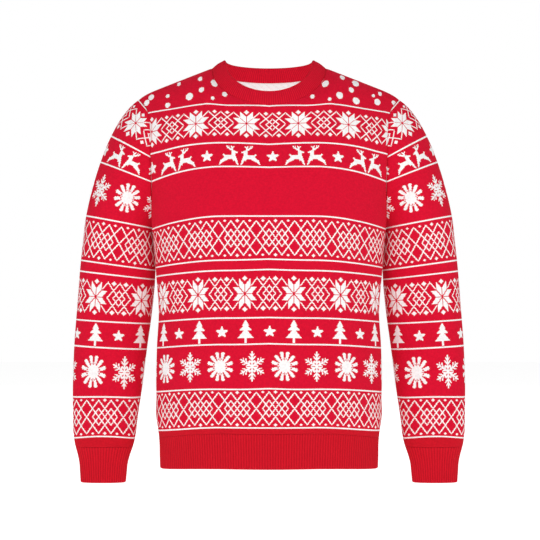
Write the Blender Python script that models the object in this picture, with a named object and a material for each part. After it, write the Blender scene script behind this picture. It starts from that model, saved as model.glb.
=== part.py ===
"""A knitted Christmas sweater, filled out as if worn, with nobody in it.

The garment is built from the pieces that a knitter joins: a front and a back, two set-in sleeves, a neckband,
a ribbed welt under each body panel and a ribbed cuff on each sleeve. Every piece is a closed wall of cloth.
Metres, +Z up, the front faces -Y. The origin is between the two high shoulder points, where a wearer carries it.
"""

import bmesh
import bpy
import numpy as np

# Cloth
KNIT = 0.0025  # wall of the body and the sleeves
RIB = 0.0032  # wall of the welts and the cuffs
BAND = 0.0036  # wall of the neckband, which is folded double
SEAM_GAP = 0.0003  # clear space between two pieces at a seam

# Where the seams run
WIDEST_Y = -0.020  # the torso is widest a little in front of its side seams
SIDE_SEAM_Y = 0.010
WELT_SEAM = -0.6190  # heights, at the middle of the front
YOKE_BASE = -0.1180
HEM = -0.6768
NECK_HALF_WIDTH = 0.0970
HIGH_SHOULDER = -0.0078
SHOULDER_TIP_X = 0.2210
SHOULDER_TIP = -0.0610
SHOULDER_SLOPE = 0.385
ARMPIT = -0.2800
NECK_COLUMN = 6 / 14  # share of a half panel's columns that end on the neckline
NECK_CORNER_LEAN = 0.45  # the columns near the high shoulder point fan out from that corner
YOKE_FULLNESS = 0.25  # how much rounder the yoke is over the shoulder blades than at its middle and its ends
NECK_SQUARENESS = 0.75  # below 1, the neckline runs level as it passes over the shoulder

# Sections of the torso, one row for each height at the middle of the front. A row hangs lower at the side seam
# than at the middle, by side_drop.
TORSO_COLUMNS = ("height", "half_width", "front_depth", "back_depth", "side_drop")
TORSO = (
    (-0.6768, 0.1835, 0.1135, 0.1080, 0.0060),
    (-0.6550, 0.1842, 0.1150, 0.1095, 0.0080),
    (-0.6320, 0.1848, 0.1175, 0.1115, 0.0108),
    (-0.6190, 0.1858, 0.1195, 0.1130, 0.0120),
    (-0.5950, 0.1884, 0.1235, 0.1150, 0.0125),
    (-0.5432, 0.1904, 0.1245, 0.1155, 0.0125),
    (-0.4692, 0.1893, 0.1240, 0.1145, 0.0103),
    (-0.4100, 0.1864, 0.1245, 0.1135, 0.0112),
    (-0.3474, 0.1908, 0.1265, 0.1135, 0.0116),
    (-0.3000, 0.1942, 0.1280, 0.1140, 0.0135),
    (-0.2607, 0.1975, 0.1280, 0.1150, 0.0190),
    (-0.1809, 0.2000, 0.1225, 0.1150, 0.0212),
    (-0.1435, 0.2000, 0.1135, 0.1110, 0.0125),
    (-0.1180, 0.2000, 0.1055, 0.1055, 0.0100),
    (-0.0900, 0.2000, 0.0960, 0.0980, 0.0080),
)

# The armhole: an egg-shaped loop that stands across the end of the shoulder
ARMHOLE_FRONT = 0.0540
ARMHOLE_BACK = 0.0530
ARMHOLE_X = 0.1990  # the seam climbs level with the side of the chest, then turns out to the shoulder tip
ARMHOLE_EGG = 0.12  # share by which the loop is wider above its middle and narrower below it

# The neckline seam and the free edge of the neckband are two leaning ellipses
NECK_COLUMNS = ("half_width", "front_y", "back_y", "side_z", "front_z", "back_z")
NECK_SEAM = (0.0970, -0.0950, 0.0660, -0.0078, -0.0768, -0.0253)
NECK_EDGE = (0.0757, -0.0857, 0.0570, 0.0068, -0.0538, -0.0017)
BAND_BULGE = 0.0012

# Sections of the sleeve, from just under the armpit to the edge of the cuff. Each is an oval whose wide axis runs
# from the inner side of the arm, low, to the outer side, high.
SLEEVE_COLUMNS = ("x", "z", "half_width", "tilt", "y", "half_depth")
SLEEVE = (
    (0.2560, -0.2830, 0.0595, 9.5, 0.0200, 0.0570),
    (0.2566, -0.3150, 0.0628, 8.3, 0.0250, 0.0560),
    (0.2588, -0.3480, 0.0644, 7.0, 0.0280, 0.0540),
    (0.2645, -0.4146, 0.0642, 4.8, 0.0290, 0.0470),
    (0.2715, -0.4826, 0.0622, 3.0, 0.0270, 0.0400),
    (0.2765, -0.5500, 0.0592, 1.0, 0.0230, 0.0340),
    (0.2800, -0.6050, 0.0552, 0.0, 0.0195, 0.0300),
    (0.2810, -0.6350, 0.0525, 0.0, 0.0180, 0.0280),
    (0.2815, -0.6500, 0.0494, 0.0, 0.0172, 0.0255),
    (0.2820, -0.6640, 0.0450, 0.0, 0.0165, 0.0228),
    (0.2825, -0.6780, 0.0416, 0.0, 0.0158, 0.0207),
    (0.2828, -0.6930, 0.0402, 0.0, 0.0152, 0.0192),
    (0.2830, -0.7110, 0.0387, 0.0, 0.0145, 0.0182),
)
CUFF_SEAM = -0.6510
CUFF_EDGE = -0.7110
CAP_RISE, CAP_FALL = 0.85, 0.45  # how far the cap keeps the armhole's direction, and the arm's
OVAL_POWER = 2.25  # 2 is an ellipse; a little more gives the flat faces of an empty sleeve

# How finely each piece is faceted
BODY_COLUMNS, WELT_ROWS, BODY_ROWS, ARMHOLE_ROWS, YOKE_ROWS = 28, 3, 6, 7, 5
CAP_ROWS, SLEEVE_ROWS, CUFF_ROWS = 7, 9, 3
BAND_ROWS = 2

RED = (0.694, 0.006, 0.031, 1.0)
RIB_RED = (0.590, 0.008, 0.020, 1.0)


def along(table, names, column, at):
    """A smooth curve through one column of a table, by its first column or by the column that at is given for."""
    rows = np.array(table)
    known, values = rows[:, 0], rows[:, names.index(column)]
    return smooth(known, values, at)


def smooth(known, values, at):
    """Cubic pieces through the known points, with the slope at each point taken from its two neighbours."""
    if known[0] > known[-1]:
        known, values = known[::-1], values[::-1]
    slopes = np.gradient(values, known)
    at = np.clip(at, known[0], known[-1])
    i = np.clip(np.searchsorted(known, at) - 1, 0, len(known) - 2)
    step = known[i + 1] - known[i]
    t = (at - known[i]) / step
    return (
        (2 * t**3 - 3 * t**2 + 1) * values[i]
        + (t**3 - 2 * t**2 + t) * step * slopes[i]
        + (3 * t**2 - 2 * t**3) * values[i + 1]
        + (t**3 - t**2) * step * slopes[i + 1]
    )


def unit(vectors):
    return vectors / np.linalg.norm(vectors, axis=-1, keepdims=True)


def torso(column, height):
    return along(TORSO, TORSO_COLUMNS, column, height)


def half_depth(side, height):
    """Depth of the half ellipse in front of (side -1) or behind (side 1) the widest line."""
    if side < 0:
        return torso("front_depth", height) + WIDEST_Y
    return torso("back_depth", height) - WIDEST_Y


def edge_angle(side, y, height):
    """The angle from the middle of a panel at which its section reaches this y."""
    forward = np.where(
        (y - WIDEST_Y) * side > 0,
        (y - WIDEST_Y) * side / half_depth(side, height),
        (y - WIDEST_Y) * side / half_depth(-side, height),
    )
    return np.arccos(np.clip(forward, -1, 1))


def armhole(side, angle):
    """The armhole seam on the +X side: angle 0 at the shoulder tip, pi at the armpit, in front or behind."""
    middle, half = (SHOULDER_TIP + ARMPIT) / 2, (SHOULDER_TIP - ARMPIT) / 2
    up = np.cos(angle)
    reach = ARMHOLE_FRONT if side < 0 else ARMHOLE_BACK
    y = SIDE_SEAM_Y * (1 - up) / 2 + side * reach * np.sin(angle) * (1 + ARMHOLE_EGG * up)
    z = middle + half * up
    height = row_height(z)
    chest = torso("half_width", height) * np.sin(edge_angle(side, y, height))
    above_chest = np.clip(up + 0.95, 0, 1)
    above_chest = above_chest**2 * (3 - 2 * above_chest)
    x = chest + (ARMHOLE_X - chest) * above_chest
    x = x + (SHOULDER_TIP_X - ARMHOLE_X) * np.clip(up, 0, 1) ** 6
    return np.stack([x, y, z], -1)


def row_height(z):
    """The height at the middle of the row that ends at this height on its outermost column."""
    height = np.linspace(TORSO[0][0], TORSO[-1][0], 800)
    return np.interp(z, height - torso("side_drop", height), height)


def row(side, share, height):
    """A point of the front (side -1) or back (side 1) below the yoke: share runs from -1 to 1 across the panel.

    Each row is an arc of an ellipse that ends on the side seam or, above the armpit, on the armhole.
    """
    middle, half = (SHOULDER_TIP + ARMPIT) / 2, (SHOULDER_TIP - ARMPIT) / 2
    drop = torso("side_drop", height)
    up = (height - drop - middle) / half
    in_armhole = up > -1
    seam = armhole(side, np.arccos(np.clip(up, -1, 1)))
    last_y = np.where(in_armhole, seam[..., 1], SIDE_SEAM_Y)
    last = edge_angle(side, last_y, height)
    plain_width = torso("half_width", height)
    width = np.where(in_armhole, seam[..., 0] / np.sin(last), plain_width)
    angle = share * last
    depth = np.where(
        np.cos(angle) > 0, half_depth(side, height), half_depth(-side, height)
    )
    outward = np.abs(np.sin(np.clip(angle, -np.pi / 2, np.pi / 2)))
    outward = outward / np.sin(np.minimum(last, np.pi / 2))
    sag = np.clip((outward - 0.4) / 0.6, 0, 1) ** 1.8
    return np.stack(
        [
            width * np.sin(angle),
            WIDEST_Y + side * depth * np.cos(angle),
            height - drop * sag,
        ],
        -1,
    )


def neck_loop(table, side, angle):
    """Half of a leaning, rounded loop: angle 0 at the middle of the front or back, pi/2 at the high shoulder."""
    size = dict(zip(NECK_COLUMNS, table))
    y = size["front_y"] if side < 0 else size["back_y"]
    z = size["front_z"] if side < 0 else size["back_z"]
    c = np.cos(angle)
    return np.stack(
        [
            size["half_width"] * np.sin(angle),
            y * np.sign(c) * np.abs(c) ** NECK_SQUARENESS,
            size["side_z"] + (z - size["side_z"]) * c,
        ],
        -1,
    )


def shoulder(share):
    """The shoulder seam from the high shoulder point (0) to the tip (1), falling faster at its very end."""
    run = SHOULDER_TIP_X - NECK_HALF_WIDTH
    extra = HIGH_SHOULDER - SHOULDER_SLOPE * run - SHOULDER_TIP
    return np.stack(
        [
            NECK_HALF_WIDTH + run * share,
            0 * share,
            HIGH_SHOULDER - SHOULDER_SLOPE * run * share - extra * share**12,
        ],
        -1,
    )


def yoke(side, share, rise):
    """A point of the panel above the yoke's base: each column is a cubic from the base row to the neckline or
    the shoulder seam, and the outermost column follows the armhole."""
    out = np.sign(share + 1e-12)
    share = np.abs(share)
    base = row(side, share, np.full_like(share, YOKE_BASE))
    below = row(side, share, np.full_like(share, YOKE_BASE - 0.004))
    neck_angle = np.clip(share / NECK_COLUMN, 0, 1) * np.pi / 2
    on_neck = (share <= NECK_COLUMN)[..., None]
    along_shoulder = np.clip((share - NECK_COLUMN) / (1 - NECK_COLUMN), 0, 1)
    seam = neck_loop(NECK_SEAM, side, neck_angle)
    top = np.where(on_neck, seam, shoulder(along_shoulder))
    band = unit(neck_loop(NECK_EDGE, side, neck_angle) - seam)
    lean = NECK_CORNER_LEAN * (1 - along_shoulder) ** 2
    over = np.stack([-lean, -side * np.ones_like(lean), lean * SHOULDER_SLOPE], -1)
    arrive = np.cos(neck_angle)[..., None] * band + np.sin(neck_angle)[..., None] * over
    chord = np.linalg.norm(top - base, axis=-1, keepdims=True)
    fullness = 0.95 + YOKE_FULLNESS * np.exp(-(((share - 0.50) / 0.20) ** 2))[..., None]
    t = rise[..., None]
    column = (
        (2 * t**3 - 3 * t**2 + 1) * base
        + (t**3 - 2 * t**2 + t) * chord * unit(base - below)
        + (3 * t**2 - 2 * t**3) * top
        + (t**3 - t**2) * chord * fullness * arrive
    )
    return column, out, share, top, base


def yoke_surface(side, share, rise):
    column, out, share, _, _ = yoke(side, share, rise)
    edge_column, _, _, _, edge_base = yoke(side, np.ones_like(share), rise)
    middle, half = (SHOULDER_TIP + ARMPIT) / 2, (SHOULDER_TIP - ARMPIT) / 2
    start = np.arccos((edge_base[..., 2] - middle) / half)
    seam = armhole(side, start * (1 - rise))
    place = column + (share**6)[..., None] * (seam - edge_column)
    place[..., 0] *= out
    return place


def armhole_angles():
    """The angles round half an armhole at which a row of the body ends, from the armpit up to the shoulder tip."""
    middle, half = (SHOULDER_TIP + ARMPIT) / 2, (SHOULDER_TIP - ARMPIT) / 2
    yoke_end = YOKE_BASE - torso("side_drop", YOKE_BASE)
    start = float(np.arccos((yoke_end - middle) / half))
    return np.concatenate(
        [
            np.linspace(np.pi, start, ARMHOLE_ROWS + 1)[:-1],
            np.linspace(start, 0, YOKE_ROWS + 1),
        ]
    )


def panel_heights():
    """Heights of a panel's rows at its middle: even below the armpit, then even in angle round the armhole."""
    middle, half = (SHOULDER_TIP + ARMPIT) / 2, (SHOULDER_TIP - ARMPIT) / 2
    upper = row_height(middle + half * np.cos(armhole_angles()[: ARMHOLE_ROWS + 1]))
    return np.concatenate([np.linspace(WELT_SEAM, upper[0], BODY_ROWS + 1)[:-1], upper])


def body_panel(side):
    """Outer points and outward directions of the front or back, as rows from the welt to the shoulders."""
    share = np.linspace(-1, 1, BODY_COLUMNS + 1)
    lower = row(side, *np.meshgrid(share, panel_heights()))
    upper = yoke_surface(side, *np.meshgrid(share, np.linspace(0, 1, YOKE_ROWS + 1)[1:]))
    outer = np.concatenate([lower, upper])
    outward = directions(outer, side)
    # Both pieces at a seam use one direction there, so that their edges face each other.
    outward[0] = torso_outward(side, outer[0], WELT_SEAM)
    for end, sign in ((0, -1), (-1, 1)):
        above = outer[:, end, 2] > ARMPIT + 1e-5
        outward[:, end] = np.where(
            above[:, None],
            armhole_mitre(outer[:, end] * (sign, 1, 1)) * (sign, 1, 1),
            torso_outward(side, outer[:, end], WELT_SEAM),
        )
    across = np.abs(share)
    angle = np.clip(across / NECK_COLUMN, 0, 1) * np.pi / 2
    neck = band_outward(side, angle) * np.stack([np.sign(share), 1 + 0 * share, 1 + 0 * share], -1)
    slope = unit(np.array([SHOULDER_SLOPE, 0, 1.0])) * np.stack(
        [np.sign(share), 0 * share, 1 + 0 * share], -1
    )
    weight = np.clip((across - NECK_COLUMN) / 0.08, 0, 1)[:, None]
    top = unit(neck * (1 - weight) + slope * weight)
    outward[-1, 1:-1] = top[1:-1]
    return outer, outward


def torso_outward(side, places, height):
    """Level directions straight out of the torso's oval section."""
    depth = np.where(
        (places[..., 1] - WIDEST_Y) * side > 0,
        half_depth(side, height),
        half_depth(-side, height),
    )
    width = torso("half_width", height)
    return unit(
        np.stack(
            [
                places[..., 0] / width**2,
                (places[..., 1] - WIDEST_Y) / depth**2,
                0 * places[..., 0],
            ],
            -1,
        )
    )


def armhole_mitre(places):
    """Away from the armhole's middle and a little outwards: the line on which body and sleeve meet."""
    middle = (SHOULDER_TIP + ARMPIT) / 2
    return unit(
        np.stack(
            [
                np.full(places.shape[:-1], 0.6),
                (places[..., 1] - SIDE_SEAM_Y / 2) / ARMHOLE_BACK,
                (places[..., 2] - middle) / (SHOULDER_TIP - middle),
            ],
            -1,
        )
    )


def directions(grid, side=0, closed=False):
    """Unit normals of a grid of points. side turns them to the front or the back; a tube's point away from its
    middle line."""
    down = np.gradient(grid, axis=0)
    if closed:
        across = np.roll(grid, -1, 1) - np.roll(grid, 1, 1)
    else:
        across = np.gradient(grid, axis=1)
    found = unit(np.cross(across, down))
    if closed:
        inside = grid.mean(axis=1, keepdims=True)
        flip = np.sign(((grid - inside) * found).sum(-1).mean())
    else:
        flip = np.sign(found[..., 1].mean()) * side
    return found * flip


def band_point(side, angle, rise):
    """The neckband's outer face, from its seam (rise 0) to its free edge (rise 1), bulging a little."""
    seam = neck_loop(NECK_SEAM, side, angle)
    edge = neck_loop(NECK_EDGE, side, angle)
    place = seam + (edge - seam) * rise[..., None]
    bulge = BAND_BULGE * 4 * rise * (1 - rise)
    return place + bulge[..., None] * band_outward(side, angle)


def band_outward(side, angle):
    """Straight out of the neckband at its seam."""
    step = 1e-4
    across = neck_loop(NECK_SEAM, side, angle + step) - neck_loop(NECK_SEAM, side, angle - step)
    up = neck_loop(NECK_EDGE, side, angle) - neck_loop(NECK_SEAM, side, angle)
    return unit(np.cross(across, up)) * -side


def neckband():
    """Outer points of the whole band, as a closed ring with a column for each one that ends on the neckline."""
    around = round(4 * NECK_COLUMN * BODY_COLUMNS / 2)
    turn = np.linspace(0, 2 * np.pi, around, endpoint=False)
    grid, outward = [], []
    for rise in np.linspace(0, 1, BAND_ROWS + 1):
        places, out = [], []
        for a in turn:
            side = -1 if np.cos(a) >= 0 else 1
            angle = np.arcsin(np.sin(a))
            places.append(band_point(side, np.array(angle), np.array(rise)))
            out.append(band_outward(side, np.array(angle)))
        grid.append(places)
        outward.append(out)
    return np.array(grid), np.array(outward)


def oval(around, half_width, half_deep):
    """Across and forward distances of a rounded oval at an angle: 0 outer side, pi/2 front, pi inner side."""
    c, s = np.cos(around), np.sin(around)
    return (
        half_width * np.sign(c) * np.abs(c) ** (2 / OVAL_POWER),
        half_deep * np.sign(s) * np.abs(s) ** (2 / OVAL_POWER),
    )


def sleeve_ring(around, z):
    """A section of the sleeve, by the height of its middle."""
    size = {
        name: along_sleeve(name, z) for name in SLEEVE_COLUMNS if name != "z"
    }
    across, forward = oval(around, size["half_width"], size["half_depth"])
    tilt = np.radians(size["tilt"])
    return np.stack(
        [
            size["x"] + across * np.cos(tilt),
            size["y"] - forward,
            z + across * np.sin(tilt),
        ],
        -1,
    )


def along_sleeve(name, z):
    rows = np.array(SLEEVE)
    return smooth(rows[:, 1], rows[:, SLEEVE_COLUMNS.index(name)], z)


def sleeve_cap(around, run):
    """The sleeve from the armhole (run 0) to its first full section (run 1), as cubics that leave the armhole
    outwards and arrive down the arm."""
    first = SLEEVE[0][SLEEVE_COLUMNS.index("z")]
    front = np.sin(around) >= 0
    turned = np.arccos(np.clip(np.cos(around), -1, 1))
    start = np.where(front[..., None], armhole(-1, turned), armhole(1, turned))
    end = sleeve_ring(around, np.full_like(around, first))
    down = unit(sleeve_ring(around, np.full_like(around, first - 0.004)) - end)
    top = np.clip(np.cos(around), 0, 1)
    leave = unit(
        np.stack([0.80 + 0 * around, -0.12 * np.sin(around), -0.35 - 0.15 * top], -1)
    )
    chord = np.linalg.norm(end - start, axis=-1, keepdims=True)
    t = run[..., None]
    return (
        (2 * t**3 - 3 * t**2 + 1) * start
        + (t**3 - 2 * t**2 + t) * chord * leave * CAP_RISE
        + (3 * t**2 - 2 * t**3) * end
        + (t**3 - t**2) * chord * down * CAP_FALL
    )


def sleeve_columns():
    """Angles of the sleeve's columns, which start where the body's rows end."""
    half = armhole_angles()[::-1]
    return np.concatenate([half, 2 * np.pi - half[-2:0:-1]])


def sleeve():
    """Outer points and outward directions of the sleeve on the +X side."""
    turn = sleeve_columns()
    first = SLEEVE[0][SLEEVE_COLUMNS.index("z")]
    cap = sleeve_cap(*np.meshgrid(turn, np.linspace(0, 1, CAP_ROWS + 1)))
    tube = sleeve_ring(
        *np.meshgrid(turn, np.linspace(first, CUFF_SEAM, SLEEVE_ROWS + 1)[1:])
    )
    outer = np.concatenate([cap, tube])
    outward = directions(outer, closed=True)
    outward[0] = armhole_mitre(outer[0])
    outward[-1] = level(outward[-1])
    return outer, outward


def cuff():
    turn = sleeve_columns()
    outer = sleeve_ring(
        *np.meshgrid(turn, np.linspace(CUFF_SEAM, CUFF_EDGE, CUFF_ROWS + 1))
    )
    outward = directions(outer, closed=True)
    outward[0] = level(outward[0])
    return outer, outward


def welt(side):
    share = np.linspace(-1, 1, BODY_COLUMNS + 1)
    outer = row(side, *np.meshgrid(share, np.linspace(HEM, WELT_SEAM, WELT_ROWS + 1)))
    return outer, torso_outward(side, outer, WELT_SEAM)


def level(vectors):
    return unit(vectors * (1, 1, 0))


def drawn_back(edge, next_row, outward, ring=False, corners=()):
    """How far to move an edge into its own piece, square to the seam: half a seam gap, and both ways at a corner."""
    moves = np.zeros_like(edge)
    stops = [0, *corners, len(edge) - 1]
    for start, end in zip(stops[:-1], stops[1:]):
        run = slice(start, end + 1)
        if ring:
            tangent = np.roll(edge, -1, 0) - np.roll(edge, 1, 0)
        else:
            tangent = np.gradient(edge[run], axis=0)
        back = unit(np.cross(tangent, outward[run]))
        back *= np.sign((back * (next_row - edge)[run]).sum(-1).mean())
        moves[run] += back * SEAM_GAP / 2
    return moves


def pulled_in(grid, outward, ends, ring):
    """The grid with its seam edges drawn back, so that pieces that meet there stay clear of each other."""
    moved = grid.copy()
    neck = round(NECK_COLUMN * BODY_COLUMNS / 2)
    corners = () if ring else (BODY_COLUMNS // 2 - neck, BODY_COLUMNS // 2 + neck)
    if "first" in ends:
        moved[0] += drawn_back(grid[0], grid[1], outward[0], ring)
    if "last" in ends:
        moved[-1] += drawn_back(grid[-1], grid[-2], outward[-1], ring)
    if "shoulders" in ends:
        moved[-1] += drawn_back(grid[-1], grid[-2], outward[-1], corners=corners)
    if "sides" in ends:
        for end, next_to in ((0, 1), (-1, -2)):
            moved[:, end] += drawn_back(grid[:, end], grid[:, next_to], outward[:, end])
    return moved


def wall(name, outer, outward, thickness, colour, ends=(), closed=False):
    """A closed wall of cloth: the outer face, the inner face a thickness behind it, and the rims between."""
    inner = pulled_in(outer - outward * thickness, outward, ends, closed)
    outer = pulled_in(outer, outward, ends, closed)
    rows, columns = outer.shape[:2]
    count = rows * columns
    places = np.concatenate([outer.reshape(-1, 3), inner.reshape(-1, 3)])
    number = np.arange(count).reshape(rows, columns)
    if closed:
        number = np.concatenate([number, number[:, :1]], axis=1)
    face = np.stack(
        [number[:-1, :-1], number[:-1, 1:], number[1:, 1:], number[1:, :-1]], -1
    ).reshape(-1, 4)
    rims = [number[0], number[-1][::-1]]
    if not closed:
        rims += [number[:, 0][::-1], number[:, -1]]
    faces = [face, face[:, ::-1] + count]
    for rim in rims:
        faces.append(np.stack([rim[:-1], rim[:-1] + count, rim[1:] + count, rim[1:]], -1))
    faces = np.concatenate(faces)
    mesh = bpy.data.meshes.new(name)
    mesh.from_pydata(places.tolist(), [], faces.tolist())
    mesh.update()
    return finished(name, mesh, colour)


def finished(name, mesh, colour):
    """The mesh as an object of the sweater, with its normals turned out."""
    work = bmesh.new()
    work.from_mesh(mesh)
    bmesh.ops.recalc_face_normals(work, faces=work.faces)
    work.to_mesh(mesh)
    work.free()
    mesh.shade_smooth()
    mesh.set_sharp_from_angle(angle=np.radians(50))
    mesh.materials.append(colour)
    piece = bpy.data.objects.new(name, mesh)
    COLLECTION.objects.link(piece)
    return piece


def cloth(name, colour):
    """A matt material for wool."""
    made = bpy.data.materials.new(name)
    made.use_nodes = True
    shader = made.node_tree.nodes["Principled BSDF"]
    shader.inputs["Base Color"].default_value = colour
    shader.inputs["Roughness"].default_value = 0.9
    shader.inputs["Metallic"].default_value = 0.0
    return made


for old in list(bpy.data.objects):
    bpy.data.objects.remove(old)
COLLECTION = bpy.data.collections.new("christmas_sweater")
bpy.context.scene.collection.children.link(COLLECTION)

knit, ribbing = cloth("red_knit", RED), cloth("red_rib", RIB_RED)
for side, name in ((-1, "front"), (1, "back")):
    wall(name, *body_panel(side), KNIT, knit, ends=("first", "shoulders", "sides"))
    wall(name + "_welt", *welt(side), RIB, ribbing, ends=("last", "sides"))
wall("neckband", *neckband(), BAND, ribbing, ends=("first",), closed=True)
for mirror, name in ((1, "left"), (-1, "right")):
    outer, outward = sleeve()
    flip = (mirror, 1, 1)
    wall(name + "_sleeve", outer * flip, outward * flip, KNIT, knit, ends=("first", "last"), closed=True)
    outer, outward = cuff()
    wall(name + "_cuff", outer * flip, outward * flip, RIB, ribbing, ends=("first",), closed=True)
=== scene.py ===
"""The looks of a knitted Christmas sweater, filled out as if worn, with nobody in it.

Each piece of cloth is a thin closed shell on the form of its solid. Its stitches are laid out in fabric
coordinates: how far round the piece and how far up it, in metres, counted in wales and courses. Charts of
the figures are drawn on that squared paper, as a knitter draws them, and read stitch by stitch.
"""

import math

import bpy
import numpy as np
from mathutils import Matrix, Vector


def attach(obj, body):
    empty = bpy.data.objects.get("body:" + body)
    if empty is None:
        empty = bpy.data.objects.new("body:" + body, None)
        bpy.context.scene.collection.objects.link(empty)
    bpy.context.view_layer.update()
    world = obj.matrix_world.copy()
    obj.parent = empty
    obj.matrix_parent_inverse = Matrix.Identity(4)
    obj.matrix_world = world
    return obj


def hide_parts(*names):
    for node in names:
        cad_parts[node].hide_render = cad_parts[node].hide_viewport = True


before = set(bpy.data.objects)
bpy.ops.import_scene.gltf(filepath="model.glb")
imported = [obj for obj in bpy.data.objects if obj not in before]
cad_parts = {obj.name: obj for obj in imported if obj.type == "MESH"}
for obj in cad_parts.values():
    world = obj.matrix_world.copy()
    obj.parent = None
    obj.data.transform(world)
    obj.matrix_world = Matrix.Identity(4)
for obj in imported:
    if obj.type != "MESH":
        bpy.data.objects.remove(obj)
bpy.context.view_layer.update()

# Cloth
KNIT = 0.0025
RIB = 0.0032
BAND = 0.0036
WALE = 0.001256  # one stitch across
COURSE = 0.001145  # one row of stitches up

# The torso and its seams
WIDEST_Y = -0.020
SIDE_SEAM_Y = 0.010
WELT_SEAM = -0.6190
YOKE_BASE = -0.1180
HEM = -0.6768
NECK_HALF_WIDTH = 0.0970
HIGH_SHOULDER = -0.0078
SHOULDER_TIP_X = 0.2210
SHOULDER_TIP = -0.0610
SHOULDER_SLOPE = 0.385
ARMPIT = -0.2800
ARMHOLE_MIDDLE = (SHOULDER_TIP + ARMPIT) / 2
ARMHOLE_HALF = (SHOULDER_TIP - ARMPIT) / 2
NECK_COLUMN = 6 / 14
NECK_CORNER_LEAN = 0.45
YOKE_FULLNESS = 0.25
NECK_SQUARENESS = 0.75

TORSO_COLUMNS = ("height", "half_width", "front_depth", "back_depth", "side_drop")
TORSO = (
    (-0.6768, 0.1835, 0.1135, 0.1080, 0.0060),
    (-0.6550, 0.1842, 0.1150, 0.1095, 0.0080),
    (-0.6320, 0.1848, 0.1175, 0.1115, 0.0108),
    (-0.6190, 0.1858, 0.1195, 0.1130, 0.0120),
    (-0.5950, 0.1884, 0.1235, 0.1150, 0.0125),
    (-0.5432, 0.1904, 0.1245, 0.1155, 0.0125),
    (-0.4692, 0.1893, 0.1240, 0.1145, 0.0103),
    (-0.4100, 0.1864, 0.1245, 0.1135, 0.0112),
    (-0.3474, 0.1908, 0.1265, 0.1135, 0.0116),
    (-0.3000, 0.1942, 0.1280, 0.1140, 0.0135),
    (-0.2607, 0.1975, 0.1280, 0.1150, 0.0190),
    (-0.1809, 0.2000, 0.1225, 0.1150, 0.0212),
    (-0.1435, 0.2000, 0.1135, 0.1110, 0.0125),
    (-0.1180, 0.2000, 0.1055, 0.1055, 0.0100),
    (-0.0900, 0.2000, 0.0960, 0.0980, 0.0080),
)

ARMHOLE_FRONT = 0.0540
ARMHOLE_BACK = 0.0530
ARMHOLE_X = 0.1990
ARMHOLE_EGG = 0.12
MITRE_OUT = 0.6

NECK_COLUMNS = ("half_width", "front_y", "back_y", "side_z", "front_z", "back_z")
NECK_SEAM = (0.0970, -0.0950, 0.0660, -0.0078, -0.0768, -0.0253)
NECK_EDGE = (0.0757, -0.0857, 0.0570, 0.0068, -0.0538, -0.0017)
BAND_BULGE = 0.0012

SLEEVE_COLUMNS = ("x", "z", "half_width", "tilt", "y", "half_depth")
SLEEVE = (
    (0.2560, -0.2830, 0.0595, 9.5, 0.0200, 0.0570),
    (0.2566, -0.3150, 0.0628, 8.3, 0.0250, 0.0560),
    (0.2588, -0.3480, 0.0644, 7.0, 0.0280, 0.0540),
    (0.2645, -0.4146, 0.0642, 4.8, 0.0290, 0.0470),
    (0.2715, -0.4826, 0.0622, 3.0, 0.0270, 0.0400),
    (0.2765, -0.5500, 0.0592, 1.0, 0.0230, 0.0340),
    (0.2800, -0.6050, 0.0552, 0.0, 0.0195, 0.0300),
    (0.2810, -0.6350, 0.0525, 0.0, 0.0180, 0.0280),
    (0.2815, -0.6500, 0.0494, 0.0, 0.0172, 0.0255),
    (0.2820, -0.6640, 0.0450, 0.0, 0.0165, 0.0228),
    (0.2825, -0.6780, 0.0416, 0.0, 0.0158, 0.0207),
    (0.2828, -0.6930, 0.0402, 0.0, 0.0152, 0.0192),
    (0.2830, -0.7110, 0.0387, 0.0, 0.0145, 0.0182),
)
CUFF_SEAM = -0.6510
CUFF_EDGE = -0.7110
CAP_RISE, CAP_FALL = 0.85, 0.45
OVAL_POWER = 2.25

# Ribs: the distance from one ridge to the next, and how deep the furrows are
WELT_PITCH, CUFF_PITCH, BAND_PITCH = 0.00446, 0.00425, 0.0039
FURROW, BAND_FURROW = 0.0007, 0.0005
HEM_ROUND = 0.4  # how far the rim of a hem stands out, as a share of the rib's thickness

# The gap at a seam, how far the cloth dips beside it, and how much more it dips low on an armhole: most at
# ARMHOLE_DIP_AT, and not at all ARMHOLE_DIP_REACH above and below it
SEAM_GAP, SEAM_DIP, ARMHOLE_DIP = 0.0003, 0.0002, 0.0011
ARMHOLE_DIP_AT, ARMHOLE_DIP_REACH = -0.20, 0.07

# How far the cloth bellies out above the welt, at what height, and how far up and down that reaches
BLOUSE, BLOUSE_AT, BLOUSE_REACH = 0.0016, -0.592, 0.016

# The pattern: the fabric height of each stripe, from the shoulders down
STRIPES = {
    "a": -0.0725,
    "b": -0.1398,
    "c": -0.1801,
    "d": -0.2607,
    "e": -0.3309,
    "f": -0.3476,
    "g": -0.4258,
    "h": -0.4690,
    "i": -0.5426,
    "j": -0.6082,
}

# How much lower each stripe hangs than the level row of the torso, in millimetres, at these distances
# from the middle of the front
SAG_AT = (0.0, 0.05, 0.10, 0.15, 0.18)
SAG = {
    "a": (6.2, 1.4, -1.1, 1.3, 1.6),
    "b": (4.1, 1.6, 0.8, 1.8, 4.0),
    "c": (2.1, 0.7, 0.3, 0.3, 1.0),
    "d": (0.8, 0.6, 0.7, 1.1, 1.6),
    "e": (1.1, 2.5, 3.0, 3.4, 3.4),
    "f": (0.8, 2.3, 2.8, 2.4, 1.5),
    "g": (1.5, 2.4, 2.7, 1.6, 0.3),
    "h": (0.8, 2.2, 2.6, 1.9, 1.1),
    "i": (1.0, 2.5, 2.3, 0.6, -0.4),
    "j": (0.1, 0.2, 0.3, 0.0, -0.8),
}

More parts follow.
